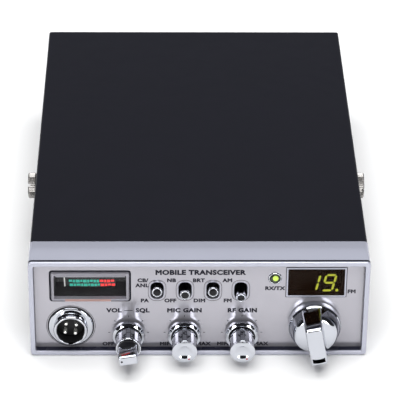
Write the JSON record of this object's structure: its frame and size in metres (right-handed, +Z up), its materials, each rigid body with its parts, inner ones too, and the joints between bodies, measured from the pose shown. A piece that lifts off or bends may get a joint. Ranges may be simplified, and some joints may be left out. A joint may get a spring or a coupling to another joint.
{
  "type": "mobile transceiver",
  "caption": "Citizens band mobile radio: black steel case, silver bezel, knobs, toggle switches, edgewise meter, channel display, microphone, antenna and power sockets.",
  "frame": {"origin": "centre of the whole object in X and Y, at the height of its flat underside", "axes": "+X to the right seen from the front, +Y to the back, +Z up"},
  "size_m": [0.1686, 0.2638, 0.0515],
  "materials": {
    "silver_paint": "satin silver paint on plastic",
    "panel_silver": "fine satin silver",
    "steel": "plain zinc-plated steel",
    "black_paint": "semi-gloss black paint",
    "black_steel": "black oxide",
    "rubber": "matt",
    "chrome": "bright chrome plating",
    "black_plastic": "moulded",
    "grey_plastic": "moulded",
    "clear_plastic": "clear moulded plastic",
    "dark_filter": "smoked plastic",
    "scale_card": "printed card",
    "lamp_green": "lit lens",
    "white_plastic": "fluoropolymer",
    "circuit_board": "solder resist",
    "ferrite": "lacquered",
    "paper": "pressed paper",
    "aluminium": "milled"
  },
  "bodies": {
    "root": {"front_bezel": "silver_paint", "front_panel": "panel_silver", "chassis_frame": "steel", "volume_squelch_pot": "steel", "mic_gain_pot": "steel", "rf_gain_pot": "steel", "top_cover": "black_paint", "bottom_cover": "black_paint", "top_cover_screw_left_front": "black_steel", "top_cover_screw_left_rear": "black_steel", "top_cover_screw_right_front": "black_steel", "top_cover_screw_right_rear": "black_steel", "bottom_cover_screw_left": "black_steel", "bottom_cover_screw_right": "black_steel", "mic_socket_shell": "chrome", "antenna_socket": "chrome", "mic_pin_1": "chrome", "mic_pin_2": "chrome", "mic_pin_3": "chrome", "mic_pin_4": "chrome", "meter_case": "black_plastic", "mic_socket_insert": "black_plastic", "power_inlet": "black_plastic", "external_speaker_jack": "black_plastic", "pa_speaker_jack": "black_plastic", "pa_toggle_switch": "black_plastic", "noise_toggle_switch": "black_plastic", "dimmer_toggle_switch": "black_plastic", "mode_toggle_switch": "black_plastic", "channel_switch": "grey_plastic", "display_module": "grey_plastic", "meter_lens": "clear_plastic", "display_filter": "dark_filter", "meter_scale": "scale_card", "status_led": "lamp_green", "antenna_insert": "white_plastic", "main_board": "circuit_board", "speaker_frame": "ferrite", "audio_transformer": "ferrite", "speaker_cone": "paper", "heat_spreader": "aluminium"},
    "volume": {"volume_knob": "chrome", "volume_shaft": "steel"},
    "squelch": {"squelch_knob": "chrome", "squelch_shaft": "steel"},
    "mic_gain": {"mic_gain_knob": "chrome", "mic_gain_shaft": "steel"},
    "rf_gain": {"rf_gain_knob": "chrome", "rf_gain_shaft": "steel"},
    "channel": {"channel_knob": "chrome", "channel_shaft": "steel"},
    "needle": {"meter_needle": "black_plastic"},
    "pa_toggle": {"pa_toggle_lever": "chrome"},
    "noise_toggle": {"noise_toggle_lever": "chrome"},
    "dimmer_toggle": {"dimmer_toggle_lever": "chrome"},
    "mode_toggle": {"mode_toggle_lever": "chrome"},
    "left_washer": {"washer_left": "rubber"},
    "left_thumb_screw": {"thumb_screw_left": "black_steel"},
    "right_washer": {"washer_right": "rubber"},
    "right_thumb_screw": {"thumb_screw_right": "black_steel"}
  },
  "joints": [
    {"name": "volume_turn", "type": "hinge", "parent": "root", "child": "volume", "pos_m": [-0.0327, -0.1126, 0.0103], "axis": [0, 1, 0], "range_deg": [-50, 250]},
    {"name": "squelch_turn", "type": "hinge", "parent": "root", "child": "squelch", "pos_m": [-0.0327, -0.1126, 0.0103], "axis": [0, 1, 0], "range_deg": [0, 300]},
    {"name": "mic_gain_turn", "type": "hinge", "parent": "root", "child": "mic_gain", "pos_m": [-0.0067, -0.1126, 0.0103], "axis": [0, 1, 0], "range_deg": [-300, 0]},
    {"name": "rf_gain_turn", "type": "hinge", "parent": "root", "child": "rf_gain", "pos_m": [0.0201, -0.1126, 0.0103], "axis": [0, 1, 0], "range_deg": [-300, 0]},
    {"name": "channel_turn", "type": "hinge", "parent": "root", "child": "channel", "pos_m": [0.0539, -0.1126, 0.0158], "axis": [0, 1, 0], "continuous": true},
    {"name": "pa_toggle_swing", "type": "hinge", "parent": "root", "child": "pa_toggle", "pos_m": [-0.0194, -0.1036, 0.0338], "axis": [1, 0, 0], "range_deg": [0, 20]},
    {"name": "noise_toggle_swing", "type": "hinge", "parent": "root", "child": "noise_toggle", "pos_m": [-0.0065, -0.1036, 0.0338], "axis": [1, 0, 0], "range_deg": [-10, 10]},
    {"name": "dimmer_toggle_swing", "type": "hinge", "parent": "root", "child": "dimmer_toggle", "pos_m": [0.0064, -0.1036, 0.0338], "axis": [1, 0, 0], "range_deg": [0, 20]},
    {"name": "mode_toggle_swing", "type": "hinge", "parent": "root", "child": "mode_toggle", "pos_m": [0.0193, -0.1036, 0.0338], "axis": [1, 0, 0], "range_deg": [-20, 0]},
    {"name": "needle_swing", "type": "hinge", "parent": "root", "child": "needle", "pos_m": [-0.0503, -0.0896, 0.036], "axis": [0, 0, 1], "range_deg": [0, 84], "stiffness_Nm_per_rad": 0.00005},
    {"name": "left_screw_travel", "type": "slide", "parent": "root", "child": "left_washer", "axis": [-1, 0, 0], "range_m": [0, 0.00241]},
    {"name": "left_screw_turn", "type": "hinge", "parent": "left_washer", "child": "left_thumb_screw", "pos_m": [-0.08, -0.0016, 0.0258], "axis": [-1, 0, 0], "range_deg": [0, 1080]},
    {"name": "right_screw_travel", "type": "slide", "parent": "root", "child": "right_washer", "axis": [1, 0, 0], "range_m": [0, 0.00241]},
    {"name": "right_screw_turn", "type": "hinge", "parent": "right_washer", "child": "right_thumb_screw", "pos_m": [0.08, -0.0016, 0.0258], "axis": [1, 0, 0], "range_deg": [0, 1080]}
  ],
  "couplings": [
    {"joint": "left_screw_travel", "follows": "left_screw_turn", "m_per_rad": 0.00012732},
    {"joint": "right_screw_travel", "follows": "right_screw_turn", "m_per_rad": 0.00012732}
  ]
}
